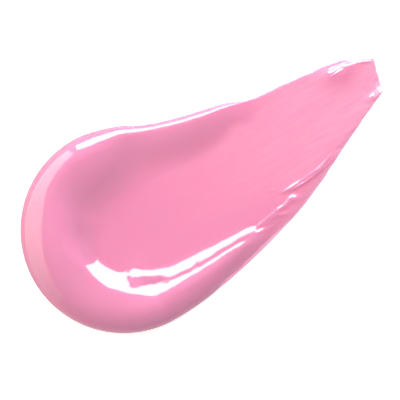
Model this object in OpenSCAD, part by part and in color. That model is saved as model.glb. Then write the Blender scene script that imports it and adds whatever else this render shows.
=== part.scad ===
// Smear of lip gloss: one stroke of gloss laid on a flat surface.
// A round head of thick gloss narrows into a thin film that ends where the tool tore away.
// The stroke runs along +X. The underside is flat, at z = 0, under the middle of the outline.
// Units are millimetres.

/* [Outline] */
// Length of the stroke, from the back of the head to the torn end
stroke_len = 41.8; // [34:0.1:52]
// Diameter of the round head
head_d = 21.3; // [17:0.1:26]
// Upper corner of the torn end, above the stroke's axis
tail_up = 2.4; // [1.5:0.1:3.5]
// Lower corner of the torn end, below the stroke's axis
tail_down = 1.0; // [0.6:0.1:2]
// How far the lower corner of the torn end stays behind the upper one
tear_skew = 0.9; // [0:0.1:1.5]

/* [Thickness] */
// Film left in the trough at the head
film_head = 0.5; // [0.3:0.05:1.2]
// Film left at the torn end
film_tail = 0.25; // [0.15:0.05:0.6]
// Height of the lower bank above the film
bank_rise = 1.58; // [1.2:0.01:2.2]
// Height of the back of the head above the film
back_rise = 1.55; // [0.9:0.01:1.9]
// Height of the upper rim above the film
rim_rise = 1.6; // [0.7:0.01:2]
// Steepness of the lower bank's inner wall, rise over run
wall_slope = 0.8; // [0.5:0.05:1]

/* [Edges] */
// Width of the rounded edge at the back of the head
back_edge = 3.6; // [2.4:0.1:4.2]
// Width of the rounded edge under the lower bank
bank_edge = 3; // [1.6:0.1:3.4]
// Width of the rounded edge outside the upper rim
rim_edge = 2.1; // [1.2:0.05:2.6]
// Width of the rounded edge round the torn end
tail_edge = 0.1; // [0.06:0.02:0.4]

/* [Mesh] */
// Facets along each long side
side_facets = 30; // [16:2:40]
// Facets round the head
head_facets = 44; // [24:4:56]
// Facets across the rounded edge
edge_facets = 6; // [4:1:8]
// Facets from the rounded edge to the spine
inner_facets = 14; // [8:1:18]

/* [Hidden] */

head_r = head_d / 2;
head_x = head_r - stroke_len / 2;
tip_x = stroke_len / 2;
end_facets = 4;
// The spine stops short of the torn end by this much
spine_gap = 1.6;
spine_end = [tip_x - tear_skew - spine_gap, (tail_up - tail_down) / 2];

// Each side of the stroke: [share of the way from the head's middle to the torn end,
// share of the head's half width that is left beyond the torn end's corner]
upper_side = [
    [0, 1], [0.14, 0.89], [0.235, 0.715], [0.33, 0.60], [0.425, 0.517], [0.50, 0.448],
    [0.565, 0.347], [0.60, 0.318], [0.71, 0.287], [0.80, 0.247], [0.85, 0.233],
    [0.905, 0.19], [0.955, 0.09], [1, 0]
];
lower_side = [
    [0, 1], [0.14, 0.97], [0.33, 0.855], [0.52, 0.69], [0.65, 0.53],
    [0.81, 0.28], [0.91, 0.13], [1, 0]
];

// Section through the edge, at stations round the outline.
// Station: 0 to 1 runs back along the upper side, 1 to 2 round the head,
// 2 to 3 out along the lower side, 3 to 4 across the torn end.
// [station, width of the rounded edge, distance in to the middle of the slope as a share of
//  the head's radius, steepness of the slope, height of the slope]
sections = [
    [0.00, tail_edge, 0.08, 0.04, 0.1 * film_tail],
    [0.38, tail_edge, 0.08, 0.04, 0.1 * film_tail],
    [0.44, tail_edge, 0.17, 0.10, 0.07 * rim_rise],
    [0.50, rim_edge * 0.22, 0.19, 0.18, 0.17 * rim_rise],
    [0.58, rim_edge * 0.38, 0.26, 0.24, 0.34 * rim_rise],
    [0.67, rim_edge * 0.42, 0.30, 0.23, 0.35 * rim_rise],
    [0.77, rim_edge * 0.43, 0.335, 0.21, 0.34 * rim_rise],
    [0.83, rim_edge * 0.54, 0.36, 0.22, 0.46 * rim_rise],
    [0.88, rim_edge * 0.70, 0.41, 0.24, 0.60 * rim_rise],
    [0.94, rim_edge * 0.92, 0.46, 0.29, 0.83 * rim_rise],
    [1.00, rim_edge, 0.48, 0.31, rim_rise],
    [1.17, (rim_edge + back_edge) / 2, 0.51, 0.32, (rim_rise + back_rise) / 2],
    [1.27, back_edge, 0.55, 0.37, back_rise],
    [1.38, back_edge, 0.56, 0.47, 0.95 * back_rise],
    [1.45, back_edge, 0.57, 0.69 * wall_slope, 0.90 * back_rise],
    [1.52, back_edge, 0.57, 0.85 * wall_slope, 0.85 * back_rise],
    [1.58, back_edge, 0.56, wall_slope, 0.8 * back_rise],
    [1.64, back_edge, 0.545, wall_slope, 0.8 * back_rise],
    [1.75, (back_edge + bank_edge) / 2, 0.515, wall_slope, 0.87 * back_rise],
    [1.84, bank_edge, 0.50, wall_slope, 0.97 * back_rise],
    [1.91, bank_edge, 0.49, wall_slope, 1.08 * bank_rise],
    [1.96, bank_edge, 0.445, wall_slope, 1.06 * bank_rise],
    [2.00, bank_edge, 0.405, wall_slope, bank_rise],
    [2.07, bank_edge, 0.369, wall_slope, 0.97 * bank_rise],
    [2.14, bank_edge, 0.336, wall_slope, 0.93 * bank_rise],
    [2.21, bank_edge * 0.85, 0.303, wall_slope, 0.86 * bank_rise],
    [2.34, bank_edge * 0.65, 0.225, wall_slope, 0.62 * bank_rise],
    [2.38, bank_edge * 0.58, 0.205, wall_slope, 0.46 * bank_rise],
    [2.42, bank_edge * 0.50, 0.18, wall_slope, 0.26 * bank_rise],
    [2.50, bank_edge * 0.45, 0.162, 0.85 * wall_slope, 0.15 * bank_rise],
    [2.56, bank_edge * 0.42, 0.16, 0.3, 0.08 * bank_rise],
    [2.70, bank_edge * 0.35, 0.15, 0.08, 0.05 * bank_rise],
    [2.92, tail_edge * 1.5, 0.10, 0.05, 0.12 * film_tail],
    [3.00, tail_edge, 0.08, 0.04, 0.1 * film_tail],
    [3.10, tail_edge, 0.08, 0.04, 0.1 * film_tail],
    [4.00, tail_edge, 0.08, 0.04, 0.1 * film_tail]
];

function mix(a, b, t) = a + (b - a) * t;

// Cubic through the rows of a table, read at x, column by column. It leaves the first row level.
function row_of(table, x, i = 0) =
    (i >= len(table) - 2 || x < table[i + 1][0]) ? i : row_of(table, x, i + 1);
function grade(table, i, col) =
    let (a = i - 1, b = min(i + 1, len(table) - 1))
    i == 0 ? 0 : (table[b][col] - table[a][col]) / (table[b][0] - table[a][0]);
function hermite(a, b, ga, gb, span, t) =
    a * (1 + 2 * t) * pow(1 - t, 2) + b * t * t * (3 - 2 * t)
    + span * (ga * t * pow(1 - t, 2) - gb * t * t * (1 - t));
function read(table, x, col) =
    let (i = row_of(table, x), span = table[i + 1][0] - table[i][0])
    hermite(table[i][col], table[i + 1][col], grade(table, i, col), grade(table, i + 1, col),
            span, (x - table[i][0]) / span);

// The outline at a station
function end_x(low) = tip_x - tear_skew * low;
function upper_at(f) = [mix(head_x, end_x(0), f), mix(tail_up, head_r, read(upper_side, f, 1))];
function lower_at(f) = [mix(head_x, end_x(1), f), -mix(tail_down, head_r, read(lower_side, f, 1))];
function head_at(a) = [head_x + head_r * cos(a), head_r * sin(a)];
function end_at(t) = [end_x(1 - t), mix(-tail_down, tail_up, t)];
function outline_at(q) =
    q < 1 ? upper_at(1 - q) : q < 2 ? head_at(90 + 180 * (q - 1)) :
    q < 3 ? lower_at(q - 2) : end_at(q - 3);

// The spine, which the two sides share: from the head's middle to near the torn end
function spine_at(f) = [mix(head_x, spine_end[0], f), spine_end[1] * f];
function along(q) = q < 1 ? 1 - q : q < 2 ? 0 : q < 3 ? q - 2 : 1;

// Thickness of the film along the stroke
function film_at(x) = mix(film_head, film_tail, max(0, x - head_x) / (tip_x - head_x));
// Share of the slope's height that has been lost, from 0 at its top to 1 at its foot
function fall(t) = t <= -1 ? 0 : t >= 1 ? 1 : 15 / 16 * (t - 2 / 3 * pow(t, 3) + pow(t, 5) / 5 + 8 / 15);
function round_edge(t) = t >= 1 ? 1 : sqrt(t * (2 - t));
// The steepest part of a slope is 15/16 of its height over half its width
function height(q, x, d) =
    let (slope_in = head_r * read(sections, q, 2), top = read(sections, q, 4))
    let (slope_half = 15 / 16 * top / read(sections, q, 3))
    let (rise = top * (1 - fall((d - slope_in) / slope_half)))
    (film_at(x) + rise) * round_edge(d / read(sections, q, 1));

// Stations of the mesh, and the spine point that each looks to
stations = concat(
    [for (i = [0 : side_facets - 1]) i / side_facets],
    [for (i = [0 : head_facets - 1]) 1 + i / head_facets],
    [for (i = [0 : side_facets - 1]) 2 + i / side_facets],
    [for (i = [0 : end_facets - 1]) 3 + i / end_facets]
);
ring_n = len(stations);
rings = edge_facets + inner_facets;

// Distance in from the outline of each ring: close together in the rounded edge
function ring_in(q, j, reach) =
    let (edge = min(read(sections, q, 1), reach / 2))
    j <= edge_facets ? edge * (1 - cos(90 * j / edge_facets))
                     : mix(edge, reach, (j - edge_facets) / inner_facets);

function skin_point(q, j) =
    let (rim = outline_at(q), core = spine_at(along(q)), reach = norm(core - rim))
    let (d = ring_in(q, j, reach), p = mix(rim, core, d / reach))
    [p[0], p[1], height(q, p[0], d)];

// Triangles from a ring of outline points in to a spine, both given by their first point's number
function after(i) = (i + 1) % ring_n;
function to_spine(ring, core) = [
    for (i = [0 : ring_n - 1])
        let (here = core + round(along(stations[i]) * side_facets))
        let (next = core + round(along(stations[after(i)]) * side_facets))
        each here == next
            ? [[ring + i, here, ring + after(i)]]
            : [[ring + i, here, next], [ring + i, next, ring + after(i)]]
];
function turned(faces) = [for (f = faces) [f[2], f[1], f[0]]];

module gloss_smear() {
    skin = [for (j = [0 : rings - 1], q = stations) skin_point(q, j)];
    spine = [for (k = [0 : side_facets]) spine_at(k / side_facets)];
    top_spine = [for (p = spine) [p[0], p[1], film_at(p[0])]];
    low_spine = [for (p = spine) [p[0], p[1], 0]];
    top_first = len(skin);
    low_first = top_first + len(spine);
    bands = [for (j = [0 : rings - 2], i = [0 : ring_n - 1])
        let (a = j * ring_n, b = a + ring_n)
        each [[a + i, b + i, b + after(i)], [a + i, b + after(i), a + after(i)]]];
    crown = to_spine((rings - 1) * ring_n, top_first);
    underside = turned(to_spine(0, low_first));
    color([0.95, 0.56, 0.72])
        polyhedron(points = concat(skin, top_spine, low_spine),
            faces = concat(bands, crown, underside), convexity = 4);
}

gloss_smear();
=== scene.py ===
from math import cos, pi, radians, sin, tan

import bpy
import numpy as np
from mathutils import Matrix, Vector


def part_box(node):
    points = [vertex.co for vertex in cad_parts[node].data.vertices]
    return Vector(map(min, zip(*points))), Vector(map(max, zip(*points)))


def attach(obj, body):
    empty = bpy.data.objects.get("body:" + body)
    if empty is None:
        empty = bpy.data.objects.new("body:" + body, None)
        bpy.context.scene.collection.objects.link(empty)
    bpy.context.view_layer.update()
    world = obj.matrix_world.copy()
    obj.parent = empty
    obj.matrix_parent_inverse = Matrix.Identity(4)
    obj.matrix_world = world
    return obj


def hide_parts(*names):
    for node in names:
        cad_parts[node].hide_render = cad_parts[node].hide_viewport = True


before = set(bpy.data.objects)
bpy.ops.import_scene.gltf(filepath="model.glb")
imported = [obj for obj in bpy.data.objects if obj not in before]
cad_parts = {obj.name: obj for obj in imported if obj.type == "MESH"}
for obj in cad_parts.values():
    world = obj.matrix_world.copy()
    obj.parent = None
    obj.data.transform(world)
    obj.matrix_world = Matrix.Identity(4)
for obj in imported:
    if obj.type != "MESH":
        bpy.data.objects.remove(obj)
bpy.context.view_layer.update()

mm = 0.001  # the gloss is thought of in millimetres, the frame is in metres
node = "gloss_smear"
boxLow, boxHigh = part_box(node)


def mix(a, b, t):
    return a + (b - a) * t


def smoothStep(low, high, at):
    t = np.clip((at - low) / (high - low), 0, 1)
    return t * t * (3 - 2 * t)


def readRows(rows, at, column=1):
    # smooth curve through the rows of a table, level at the first row
    knots = np.array([row[0] for row in rows], float)
    values = np.array([row[column] for row in rows], float)
    grades = np.zeros(len(rows))
    grades[1:-1] = (values[2:] - values[:-2]) / (knots[2:] - knots[:-2])
    grades[-1] = (values[-1] - values[-2]) / (knots[-1] - knots[-2])
    i = np.clip(np.searchsorted(knots, at, side="right") - 1, 0, len(rows) - 2)
    span = knots[i + 1] - knots[i]
    t = (at - knots[i]) / span
    ease = t * t * (3 - 2 * t)
    bend = grades[i] * t * (1 - t) ** 2 - grades[i + 1] * t * t * (1 - t)
    return mix(values[i], values[i + 1], ease) + span * bend


def straightRows(rows, at, column):
    # straight lines between the rows, which never overshoot them
    return np.interp(at, [row[0] for row in rows], [row[column] for row in rows])


def wander(at, step, seed):
    # smooth random line from -1 to 1, with a new value every step
    count = 1024
    values = np.random.RandomState(seed).uniform(-1, 1, count)
    place = np.asarray(at) / step + count // 2
    first = np.clip(np.floor(place).astype(int), 0, count - 2)
    return mix(values[first], values[first + 1], smoothStep(0, 1, place - first))


def waver(at, waves):
    # random lines on top of each other: size, step and seed of each
    return sum(size * wander(at, step, seed) for size, step, seed in waves)


def nearPath(x, y, path):
    # how far each point is from a line of points, and its share of the way along
    best = np.full(x.shape, np.inf)
    along = np.zeros(x.shape)
    lengths = [np.hypot(b[0] - a[0], b[1] - a[1]) for a, b in zip(path, path[1:])]
    whole, done = sum(lengths), 0
    for a, b, length in zip(path, path[1:], lengths):
        ux, uy = (b[0] - a[0]) / length, (b[1] - a[1]) / length
        t = np.clip((x - a[0]) * ux + (y - a[1]) * uy, 0, length)
        gap = np.hypot(x - a[0] - t * ux, y - a[1] - t * uy)
        closer = gap < best
        best = np.where(closer, gap, best)
        along = np.where(closer, (done + t) / whole, along)
        done += length
    return best, along


def deselectAll():
    # an operator acts on all that is selected
    if bpy.context.object and bpy.context.object.mode != "OBJECT":
        bpy.ops.object.mode_set(mode="OBJECT")
    bpy.ops.object.select_all(action="DESELECT")


gloss = {
    # outline, mm
    "strokeLength": (boxHigh.x - boxLow.x) / mm,
    "headDiameter": (boxHigh.y - boxLow.y) / mm,
    "tailUp": 2.4,
    "tailDown": 1.0,
    "tearSkew": 0.9,
    "spineGap": 1.6,  # from the spine's end to the torn end
    # nicks in the torn end and the tail's thin edges: share, step in stations, seed
    "nicks": [(1, 0.02, 8), (1, 0.06, 9)],
    "nickDepth": 0.05,
    "nicksStart": (3, 12),  # places along the stroke where they start, and where they are full
    "nicksStop": (18.5, 19.7),
    # thickness, mm
    "filmHead": 0.5,
    "filmTail": 0.25,
    "bankRise": 1.58,
    "backRise": 1.55,
    "rimRise": 1.6,
    "wallSlope": 0.8,  # of the bank's inner wall, rise over run
    "thinnest": 0.5,  # share of the film that a groove leaves
    # how the bank's wall and the shelf in it wander: size and step in mm, seed
    "wallSway": [(0.045, 1.7, 5), (0.018, 0.55, 6)],
    "shelfSway": [(0.05, 0.8, 7), (0.025, 0.35, 10)],
    "shelfReach": 2.5,  # the shelf changes the slope this far to each side
    # width of the rounded edge, mm
    "backEdge": 3.6,
    "bankEdge": 3.0,
    "rimEdge": 2.1,
    "tailEdge": 0.1,
    "skirtEdge": 0.06,
    # mesh: columns go round the outline, rings go in from it
    "sideColumns": 235,
    "headColumns": 150,
    "endColumns": 24,
    "edgeRings": 16,
    "innerRings": 124,
    "crowding": 1.2,  # rings stand closer together near the edge
    "mergeWithin": 2e-7,  # metres: only points that coincide
    "smoothBelow": 60,  # degrees
}

headRadius = gloss["headDiameter"] / 2
headX = headRadius - gloss["strokeLength"] / 2
tipX = gloss["strokeLength"] / 2
spineEnd = (
    tipX - gloss["tearSkew"] - gloss["spineGap"],
    (gloss["tailUp"] - gloss["tailDown"]) / 2,
)

# sides: share of the way from the head's middle to the torn end, share of the head's half width
# that is left beyond the torn end's corner
upperSide = [
    (0, 1), (0.14, 0.89), (0.235, 0.715), (0.33, 0.60), (0.425, 0.517), (0.50, 0.448),
    (0.565, 0.347), (0.60, 0.318), (0.71, 0.287), (0.80, 0.247), (0.85, 0.233),
    (0.905, 0.19), (0.955, 0.09), (1, 0),
]
lowerSide = [
    (0, 1), (0.14, 0.97), (0.33, 0.855), (0.52, 0.69), (0.65, 0.53),
    (0.81, 0.28), (0.91, 0.13), (1, 0),
]


def sectionRows(g):
    # station, width of the rounded edge, middle of the inner slope as a share of the head's
    # radius, steepness of the slope, its height. Stations: 0 to 1 back along the upper side,
    # 1 to 2 round the head, 2 to 3 out along the lower side, 3 to 4 across the torn end.
    tail, rim, back, bank = g["tailEdge"], g["rimEdge"], g["backEdge"], g["bankEdge"]
    rimUp, backUp, bankUp, thin = g["rimRise"], g["backRise"], g["bankRise"], 0.1 * g["filmTail"]
    steep = g["wallSlope"]
    return [
        (0.00, tail, 0.08, 0.04, thin),
        (0.38, tail, 0.08, 0.04, thin),
        (0.44, tail, 0.17, 0.10, 0.07 * rimUp),
        (0.50, rim * 0.22, 0.19, 0.18, 0.17 * rimUp),
        (0.58, rim * 0.38, 0.26, 0.24, 0.34 * rimUp),
        (0.67, rim * 0.42, 0.30, 0.23, 0.35 * rimUp),
        (0.77, rim * 0.43, 0.335, 0.21, 0.34 * rimUp),
        (0.83, rim * 0.54, 0.36, 0.22, 0.46 * rimUp),
        (0.88, rim * 0.70, 0.41, 0.24, 0.60 * rimUp),
        (0.94, rim * 0.92, 0.46, 0.29, 0.83 * rimUp),
        (1.00, rim, 0.48, 0.31, rimUp),
        (1.17, (rim + back) / 2, 0.51, 0.32, (rimUp + backUp) / 2),
        (1.27, back, 0.55, 0.37, backUp),
        (1.38, back, 0.56, 0.47, 0.95 * backUp),
        (1.45, back, 0.57, 0.69 * steep, 0.90 * backUp),
        (1.52, back, 0.57, 0.85 * steep, 0.85 * backUp),
        (1.58, back, 0.56, steep, 0.8 * backUp),
        (1.64, back, 0.545, steep, 0.8 * backUp),
        (1.75, (back + bank) / 2, 0.515, steep, 0.87 * backUp),
        (1.84, bank, 0.50, steep, 0.97 * backUp),
        (1.91, bank, 0.49, steep, 1.08 * bankUp),
        (1.96, bank, 0.445, steep, 1.06 * bankUp),
        (2.00, bank, 0.405, steep, bankUp),
        (2.07, bank, 0.369, steep, 0.97 * bankUp),
        (2.14, bank, 0.336, steep, 0.93 * bankUp),
        (2.21, bank * 0.85, 0.303, steep, 0.86 * bankUp),
        (2.34, bank * 0.65, 0.225, steep, 0.62 * bankUp),
        (2.38, bank * 0.58, 0.205, steep, 0.46 * bankUp),
        (2.42, bank * 0.50, 0.18, steep, 0.26 * bankUp),
        (2.50, bank * 0.45, 0.162, 0.85 * steep, 0.15 * bankUp),
        (2.56, bank * 0.42, 0.16, 0.3, 0.08 * bankUp),
        (2.70, bank * 0.35, 0.15, 0.08, 0.05 * bankUp),
        (2.92, tail * 1.5, 0.10, 0.05, 1.2 * thin),
        (3.00, tail, 0.08, 0.04, thin),
        (3.10, tail, 0.08, 0.04, thin),
        (4.00, tail, 0.08, 0.04, thin),
    ]


sections = sectionRows(gloss)


def outlineAt(q):
    g = gloss
    upX, lowX = tipX, tipX - g["tearSkew"]
    f = np.clip(1 - q, 0, 1)
    upper = mix(headX, upX, f), mix(g["tailUp"], headRadius, readRows(upperSide, f))
    angle = pi / 2 + pi * np.clip(q - 1, 0, 1)
    head = headX + headRadius * np.cos(angle), headRadius * np.sin(angle)
    f = np.clip(q - 2, 0, 1)
    lower = mix(headX, lowX, f), -mix(g["tailDown"], headRadius, readRows(lowerSide, f))
    t = np.clip(q - 3, 0, 1)
    end = mix(lowX, upX, t), mix(-g["tailDown"], g["tailUp"], t)
    pick = [q < 1, q < 2, q < 3]
    x, y = (np.select(pick, [upper[k], head[k], lower[k]], end[k]) for k in (0, 1))
    # nicks cut inwards, and fade out at the corners of the torn end
    alongTail = smoothStep(*g["nicksStart"], x) * (1 - smoothStep(*g["nicksStop"], x))
    fade = np.where(q > 3, 4 * t * (1 - t), alongTail)
    nick = g["nickDepth"] * fade * np.abs(waver(q, g["nicks"]))
    return x - np.where(q > 3, nick, 0), y - np.select([q > 3, q < 1], [0, nick], -nick)


def spineAt(q):
    # the line down the middle that the two sides share
    f = np.select([q < 1, q < 2, q < 3], [1 - q, 0 * q, q - 2], 1.0)
    return mix(headX, spineEnd[0], f), spineEnd[1] * f


def filmAt(x):
    # thickness that is left in the trough
    share = np.clip(x - headX, 0, None) / (tipX - headX)
    return mix(gloss["filmHead"], gloss["filmTail"], share)


def fall(t):
    # share of a slope's height that is lost, from 0 at its top to 1 at its foot
    t = np.clip(t, -1, 1)
    return 15 / 16 * (t - 2 / 3 * t**3 + t**5 / 5 + 8 / 15)


# shelf along the bank's inner wall: station, distance in as a share of the head's radius, how
# much of the slope it takes away, half width in mm
shelf = [
    (1.00, 0.44, 0.0, 0.3),
    (1.93, 0.44, 0.0, 0.3),
    (1.985, 0.435, 0.5, 0.36),
    (2.00, 0.425, 0.5, 0.36),
    (2.04, 0.385, 0.52, 0.3),
    (2.07, 0.357, 0.51, 0.26),
    (2.20, 0.298, 0.56, 0.3),
    (2.34, 0.22, 0.56, 0.29),
    (2.37, 0.19, 0.55, 0.28),
    (2.50, 0.135, 0.55, 0.2),
    (2.60, 0.13, 0.0, 0.2),
    (4.00, 0.13, 0.0, 0.2),
]

# small facets pushed into the surface: middle in mm, direction that they climb in, half length
# and half width along and across it, added slope
facets = [
    ((2.2, -7.05), 262, 0.25, 0.7, 0.62),
    ((-0.8, -7.25), 266, 0.3, 1.5, 0.32),
    ((4.8, -6.62), 255, 0.28, 0.6, 0.72),
    ((6.7, -5.75), 250, 0.42, 0.5, 0.62),
    ((18.5, 3.3), 248, 0.4, 0.8, 0.5),
    ((19.3, -0.85), 262, 0.5, 0.9, 0.72),
    ((19.9, -0.45), 250, 0.6, 0.55, 0.75),
    ((16.75, -2.62), 250, 0.3, 0.28, 0.95),
    ((5.1, -4.03), 250, 0.16, 0.25, 0.6),
    ((13.2, -4.02), 258, 0.2, 0.5, 0.7),
]

# flats in a wall: middle in mm, direction that the wall climbs in, half height and half width,
# how much of the slope is taken away, or added where it is negative
flats = [
    ((-11.6, -5.5), 250, 0.54, 1.2, 0.58),
    ((17.3, 3.4), 262, 0.5, 1.9, -0.6),
]

# thin skirt that has crept out from under the edge: station, width and thickness in mm
skirt = [
    (0.00, 0.0, 0.0),
    (0.42, 0.0, 0.0),
    (0.50, 0.14, 0.25),
    (0.80, 0.17, 0.42),
    (0.85, 0.14, 0.35),
    (0.91, 0.0, 0.0),
    (2.16, 0.0, 0.0),
    (2.22, 0.3, 0.12),
    (2.38, 0.4, 0.13),
    (2.44, 0.32, 0.12),
    (2.52, 0.0, 0.0),
    (4.00, 0.0, 0.0),
]

# ridges drawn out by the tool, in mm: half width, height (a groove's is negative), path
ridges = [
    (0.42, 0.14, [
        (-13.4, -4.3), (-12.3, -4.4), (-11.5, -4.6), (-10.6, -5.1), (-9.9, -5.6), (-8.3, -6.0)]),
    (0.42, -0.03, [(-13.6, -5.2), (-12.4, -5.75), (-11.3, -6.25), (-10.3, -6.85), (-8.6, -7.3)]),
    (0.15, 0.12, [(1.8, -6.52), (5.3, -5.97)]),
    (0.15, 0.17, [(5.2, -4.5), (6.1, -4.86), (8.0, -4.76), (10.7, -4.5), (12.8, -3.8)]),
    (0.14, 0.2, [(5.8, -5.1), (8.3, -5.05), (11.2, -4.7), (13.0, -4.05)]),
    (0.13, 0.08, [(19.0, 2.95), (20.0, 2.55), (20.7, 2.2)]),
    (0.12, 0.05, [(15.7, 2.9), (16.6, 3.0), (17.6, 3.05)]),
    (0.1, 0.03, [(16.0, 3.25), (17.2, 3.4), (18.2, 3.4)]),
    (0.1, 0.03, [(16.2, 3.6), (17.4, 3.75), (18.4, 3.65)]),
    (0.3, 0.02, [(-11.5, 8.1), (-9.5, 8.4), (-7.5, 8.1), (-5.8, 7.75)]),
]


def seenAlong(x, y, middle, way):
    # how far each point is from the middle, along a direction and across it
    a = radians(way)
    dx, dy = x - middle[0], y - middle[1]
    return dx * cos(a) + dy * sin(a), dy * cos(a) - dx * sin(a)


def detailAt(x, y):
    lift = np.zeros(x.shape)
    for middle, way, long, wide, steep in facets:
        up, side = seenAlong(x, y, middle, way)
        lift += steep * up * np.exp(-(up / long) ** 2 - (side / wide) ** 2)
    for middle, way, high, wide, steep in flats:
        up, side = seenAlong(x, y, middle, way)
        # the wall keeps its height: what is taken away in the flat comes back above and below
        dyingOut = np.exp(-(up / (4 * high)) ** 2 - (side / wide) ** 2)
        lift -= steep * high * np.tanh(up / high) * dyingOut
    for wide, high, path in ridges:
        gap, along = nearPath(x, y, path)
        atEnds = smoothStep(0, 0.4, 2 * along * (1 - along))
        lift += high * np.exp(-(gap / wide) ** 2) * atEnds
    return lift


dragLines = {
    "height": 0.007,  # mm
    # size, step and seed: steps are shares of the way from the spine to the outline
    "lines": [(1, 0.055, 11), (0.6, 0.024, 12)],
    "patches": (0.4, 3.0, 13),  # steps in mm
    "start": (-4, 12),  # mm along the stroke
    "stopNearEdge": (0.75, 1),  # share of the way from the spine
}


def dragAt(x, share):
    # fine lines that follow the stroke: strongest in the thin tail
    p = dragLines
    patchy = 1 - p["patches"][0] + waver(x, [p["patches"]])
    fade = smoothStep(*p["start"], x) * (1 - smoothStep(*p["stopNearEdge"], np.abs(share)))
    return p["height"] * waver(share, p["lines"]) * patchy * fade


def roundEdge(t):
    # quarter of a circle, from upright at 0 to level at 1
    return np.sqrt(t * (2 - t))


def heightAt(q, x, y, d, share):
    g = gloss
    slopeIn = headRadius * readRows(sections, q, 2) + waver(x, g["wallSway"])
    rise = readRows(sections, q, 4)
    # the steepest part of a slope is 15/16 of its height over half its width
    slopeHalf = 15 / 16 * rise / readRows(sections, q, 3)
    body = filmAt(x) + rise * (1 - fall((d - slopeIn) / slopeHalf))
    shelfIn, flatter, wide = (straightRows(shelf, q, k) for k in (1, 2, 3))
    fromShelf = d - headRadius * shelfIn - waver(x, g["shelfSway"])
    dyingOut = np.exp(-(fromShelf / g["shelfReach"]) ** 2)
    body += flatter * wide * np.tanh(fromShelf / wide) * dyingOut
    body = np.maximum(body + detailAt(x, y) + dragAt(x, share), g["thinnest"] * filmAt(x))
    reachOut, lip = straightRows(skirt, q, 1), straightRows(skirt, q, 2)
    t = np.clip((d - reachOut) / readRows(sections, q, 1), 0, 1)
    u = np.clip(d / g["skirtEdge"], 0, 1)
    return lip * roundEdge(u) + (body - lip) * roundEdge(t)


def makeSmear():
    g = gloss
    columns = 2 * g["sideColumns"] + g["headColumns"] + g["endColumns"]
    rings = g["edgeRings"] + g["innerRings"]
    deselectAll()
    bpy.ops.mesh.primitive_grid_add(x_subdivisions=columns, y_subdivisions=rings, size=2)
    smear = bpy.context.object
    smear.name = smear.data.name = "glossSmear"
    flat = np.empty(len(smear.data.vertices) * 3)
    smear.data.vertices.foreach_get("co", flat)
    flat = flat.reshape(-1, 3)
    column = np.round((flat[:, 0] + 1) / 2 * columns)
    ring = np.round((flat[:, 1] + 1) / 2 * rings)

    ends = np.cumsum([0, g["sideColumns"], g["headColumns"], g["sideColumns"], g["endColumns"]])
    q = np.interp(column, ends, range(5))
    rimX, rimY = outlineAt(q)
    coreX, coreY = spineAt(q)
    reach = np.hypot(coreX - rimX, coreY - rimY)
    edge = np.minimum(readRows(sections, q, 1), reach / 2)
    turn = np.clip(ring / g["edgeRings"], 0, 1) * pi / 2
    inner = np.clip((ring - g["edgeRings"]) / g["innerRings"], 0, 1) ** g["crowding"]
    d = edge * (1 - np.cos(turn)) + (reach - edge) * inner
    x = mix(rimX, coreX, d / reach)
    y = mix(rimY, coreY, d / reach)
    # side of the spine, from 1 on the upper side round the head to -1 on the lower side
    roundHead = np.cos(pi * np.clip(q - 1, 0, 1))
    side = np.select([(q < 1) | (q > 3.5), q > 2], [1, -1], roundHead)
    z = heightAt(q, x, y, d, side * (1 - d / reach))
    smear.data.vertices.foreach_set("co", (np.stack([x, y, z], 1) * mm).ravel())

    # close the seam and the spine, then the underside
    bpy.ops.object.mode_set(mode="EDIT")
    bpy.ops.mesh.select_all(action="SELECT")
    bpy.ops.mesh.remove_doubles(threshold=g["mergeWithin"])
    bpy.ops.mesh.select_mode(type="EDGE")
    bpy.ops.mesh.select_all(action="DESELECT")
    bpy.ops.mesh.select_non_manifold()
    bpy.ops.mesh.fill(use_beauty=True)
    bpy.ops.mesh.select_all(action="SELECT")
    bpy.ops.mesh.normals_make_consistent(inside=False)
    bpy.ops.object.mode_set(mode="OBJECT")
    bpy.ops.object.shade_smooth_by_angle(angle=radians(g["smoothBelow"]))
    print("smear shaped:", len(smear.data.vertices), "vertices")
    return smear


def linear(hexColour):
    # sRGB hex to the linear colour that a node takes
    parts = [int(hexColour[i:i + 2], 16) / 255 for i in (1, 3, 5)]
    bright = [c / 12.92 if c <= 0.04045 else ((c + 0.055) / 1.055) ** 2.4 for c in parts]
    return (*bright, 1)


def addNode(tree, kind, settings=None, links=None):
    made = tree.nodes.new(kind)
    for name, value in (settings or {}).items():
        if isinstance(name, int) or name in made.inputs:
            made.inputs[name].default_value = value
        else:
            setattr(made, name, value)
    for name, source in (links or {}).items():
        tree.links.new(source, made.inputs[name])
    return made


def mixTowards(tree, start, hexColour, amount):
    # a Mix node has one set of sockets for each kind of value: 6, 7 and output 2 are colours
    blend = addNode(tree, "ShaderNodeMix", {"data_type": "RGBA"}, {"Factor": amount, 6: start})
    blend.inputs[7].default_value = linear(hexColour)
    return blend.outputs[2]


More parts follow.
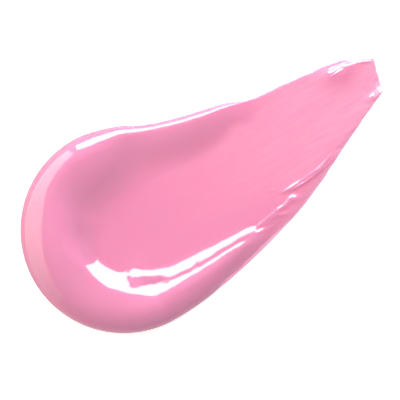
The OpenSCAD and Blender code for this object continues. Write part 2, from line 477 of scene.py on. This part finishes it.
pinkGloss = {
    # thickness in mm, colour: the white underneath lightens the thin film; the darker stop near a
    # millimetre is painted shade on the inner slopes, and the lighter thickest stop is painted
    # light on the crests
    "depthTintWithPaintedShade": [
        (0.1, "#F9A9C7"),
        (0.24, "#F9A5C5"),
        (0.48, "#E690BB"),
        (1.2, "#E28CB6"),
        (2.1, "#F297C4"),
    ],
    "flankShade": "#DA8AA8",  # painted shade: steep edges are darkened towards this colour
    "flankShadeShare": 0.5,
    "flankShadeNormals": (0.8, 0.4),  # upward part of the normal where it starts, and where it is full
    "streak": "#FFC2D2",
    "streakShare": 0.3,
    "streakGrain": (0.42, 0.72),  # noise where a streak starts, and where it is full
    "streakFilm": (0.46, 0.3),  # mm: thickness where the streaks start, and where they are full
    # the lines that the tool's flock leaves are finer than this, and are drawn wider to show
    "streakLength": 5.0,  # mm
    "streakWidth": 0.4,
    "streakDetail": 3.0,
    "streakRoughness": 0.6,
    # skin and body
    "roughness": 0.04,
    "ior": 1.6,
    "scatter": (1.0, 0.5, 0.6),  # mm that red, green and blue light travel inside
    "coatRoughness": 0.02,
    "coatIor": 1.9,  # higher than a real oil's, so that soft lights still give white highlights
}


def pigmentedOilGloss():
    # polybutene and oil with fine pigment: opaque at a millimetre, and wet all over
    p = pinkGloss
    paint = bpy.data.materials.new("pigmentedOilGloss")
    paint.use_nodes = True
    tree = paint.node_tree
    tree.nodes.clear()
    place = addNode(tree, "ShaderNodeTexCoord").outputs["Object"]
    height = addNode(tree, "ShaderNodeSeparateXYZ", links={"Vector": place}).outputs["Z"]
    topDepth = p["depthTintWithPaintedShade"][-1][0]
    share = addNode(tree, "ShaderNodeMath", {"operation": "DIVIDE"}, {0: height})
    share.inputs[1].default_value = topDepth * mm
    # ramp by height: thin film lighter over the white, with painted shade at middle depths and
    # painted light on the thick crests
    depthTintAndShade = addNode(tree, "ShaderNodeValToRGB", links={"Fac": share.outputs["Value"]})
    stops = depthTintAndShade.color_ramp.elements
    while len(stops) < len(p["depthTintWithPaintedShade"]):
        stops.new(0.5)
    for stop, (depth, colour) in zip(stops, p["depthTintWithPaintedShade"]):
        stop.position = depth / topDepth
        stop.color = linear(colour)
    # painted shade: steep surfaces, found from the normal, are mixed towards the darker flank
    # colour
    facing = addNode(tree, "ShaderNodeSeparateXYZ", links={
        "Vector": addNode(tree, "ShaderNodeTexCoord").outputs["Normal"]}).outputs["Z"]
    steepShade = addNode(tree, "ShaderNodeMapRange", {
        "From Min": p["flankShadeNormals"][0], "From Max": p["flankShadeNormals"][1],
        "To Max": p["flankShadeShare"]}, {"Value": facing})
    shadedFlanks = mixTowards(tree, depthTintAndShade.outputs["Color"], p["flankShade"], steepShade.outputs["Result"])
    # drag streaks: noise drawn out along the stroke, only where the film is thin
    drawn = addNode(tree, "ShaderNodeVectorMath", {"operation": "DIVIDE"}, {0: place})
    drawn.inputs[1].default_value = (p["streakLength"] * mm, p["streakWidth"] * mm, 1)
    grain = addNode(tree, "ShaderNodeTexNoise", {
        "Scale": 1.0, "Detail": p["streakDetail"], "Roughness": p["streakRoughness"]},
        {"Vector": drawn.outputs["Vector"]})
    lighter = addNode(tree, "ShaderNodeMapRange", {
        "From Min": p["streakGrain"][0], "From Max": p["streakGrain"][1],
        "To Max": p["streakShare"]}, {"Value": grain.outputs["Fac"]})
    thinFilm = addNode(tree, "ShaderNodeMapRange", {
        "From Min": p["streakFilm"][0] * mm, "From Max": p["streakFilm"][1] * mm},
        {"Value": height})
    amount = addNode(tree, "ShaderNodeMath", {"operation": "MULTIPLY"}, {
        0: lighter.outputs["Result"], 1: thinFilm.outputs["Result"]})
    streaked = mixTowards(tree, shadedFlanks, p["streak"], amount.outputs["Value"])
    shader = addNode(tree, "ShaderNodeBsdfPrincipled", {
        "Roughness": p["roughness"],
        "IOR": p["ior"],
        "Subsurface Weight": 1.0,
        "Subsurface Radius": p["scatter"],
        "Subsurface Scale": mm,
        "Coat Weight": 1.0,
        "Coat Roughness": p["coatRoughness"],
        "Coat IOR": p["coatIor"],
    }, {"Base Color": streaked})
    addNode(tree, "ShaderNodeOutputMaterial", links={"Surface": shader.outputs["BSDF"]})
    return paint


studio = {
    # upright panels: middle and half width in azimuth, lowest and highest elevation, degrees
    "panelAway": 0.5,  # metres
    "key": (49.5, 42.5, 10, 50),
    "keyRadiance": 4.3,
    "fill": (148.5, 49.5, 0, 60),
    "fillRadiance": 1.85,
    "fillColour": (1.0, 0.98, 0.68),
    "fillFadesTo": 0.1,  # share of its light at the far side
    "room": 0.47,
    "floorWhite": "#F4F4F4",
    "floorRoughness": 0.6,
    "floorGlow": 0.5,
    "floorSize": 3.0,  # metres
    "floorGap": 0.00002,  # keeps the floor from sharing a face with the underside
}


def softPanel(name, spread, radiance, colour=(1, 1, 1), fadesTo=1):
    azimuth, half, low, high = (radians(v) for v in spread)
    away = studio["panelAway"]
    bottom, top = away * tan(low), away * tan(high)
    data = bpy.data.lights.new(name, "AREA")
    data.shape = "RECTANGLE"
    data.size, data.size_y = 2 * away * tan(half), top - bottom
    data.energy = radiance * pi * data.size * data.size_y
    data.color = colour
    if fadesTo < 1:
        data.use_nodes = True
        tree = data.node_tree
        glow = next(n for n in tree.nodes if n.type == "EMISSION")
        across = addNode(tree, "ShaderNodeSeparateXYZ", links={
            "Vector": addNode(tree, "ShaderNodeNewGeometry").outputs["Parametric"]})
        fade = addNode(tree, "ShaderNodeMapRange", {"To Min": 1.0, "To Max": fadesTo}, {
            "Value": across.outputs["X"]})
        tree.links.new(fade.outputs["Result"], glow.inputs["Strength"])
    panel = bpy.data.objects.new(name, data)
    bpy.context.scene.collection.objects.link(panel)
    panel.location = (away * cos(azimuth), away * sin(azimuth), (bottom + top) / 2)
    panel.rotation_euler = (pi / 2, 0, azimuth + pi / 2)
    panel.visible_camera = False


def makeStudio():
    s = studio
    deselectAll()
    bpy.ops.mesh.primitive_plane_add(size=s["floorSize"], location=(0, 0, -s["floorGap"]))
    table = bpy.context.object
    table.name = "lightTable"
    # cast opal acrylic, lit from below: an even white with no highlights
    white = bpy.data.materials.new("opalAcrylic")
    white.use_nodes = True
    shader = white.node_tree.nodes["Principled BSDF"]
    shader.inputs["Base Color"].default_value = linear(s["floorWhite"])
    shader.inputs["Roughness"].default_value = s["floorRoughness"]
    shader.inputs["Specular IOR Level"].default_value = 0.0
    shader.inputs["Emission Color"].default_value = (1, 1, 1, 1)
    shader.inputs["Emission Strength"].default_value = s["floorGlow"]
    table.data.materials.append(white)
    table.visible_glossy = False  # steep edges mirror the dim room, as over a dark bench
    print("light table placed")
    softPanel("keyPanel", s["key"], s["keyRadiance"])
    softPanel("fillPanel", s["fill"], s["fillRadiance"], s["fillColour"], s["fillFadesTo"])
    world = bpy.data.worlds.new("room")
    world.use_nodes = True
    walls = world.node_tree.nodes["Background"]
    walls.inputs["Color"].default_value = (1, 1, 1, 1)
    walls.inputs["Strength"].default_value = s["room"]
    bpy.context.scene.world = world
    bpy.context.scene.view_settings.view_transform = "Standard"
    print("studio lit")


view = {
    "centre": (-1.896, -1.258),  # mm
    "field": 41.24,  # mm across the view
    "lens": 200,  # a long lens from straight above
    "sensor": 36,
    "turn": -30,  # degrees: the stroke climbs to the right
    "clip": (0.01, 10),  # metres
}


def makeCamera():
    v = view
    data = bpy.data.cameras.new("camera")
    data.lens, data.sensor_width = v["lens"], v["sensor"]
    data.clip_start, data.clip_end = v["clip"]
    camera = bpy.data.objects.new("camera", data)
    bpy.context.scene.collection.objects.link(camera)
    away = v["field"] * mm * v["lens"] / v["sensor"]
    camera.location = (v["centre"][0] * mm, v["centre"][1] * mm, away)
    camera.rotation_euler = (0, 0, radians(v["turn"]))
    bpy.context.scene.camera = camera
    print("camera set")


makeCamera()
smear = makeSmear()
smear.data.materials.append(pigmentedOilGloss())
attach(smear, "root")
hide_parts(node)
print("gloss finished")
makeStudio()
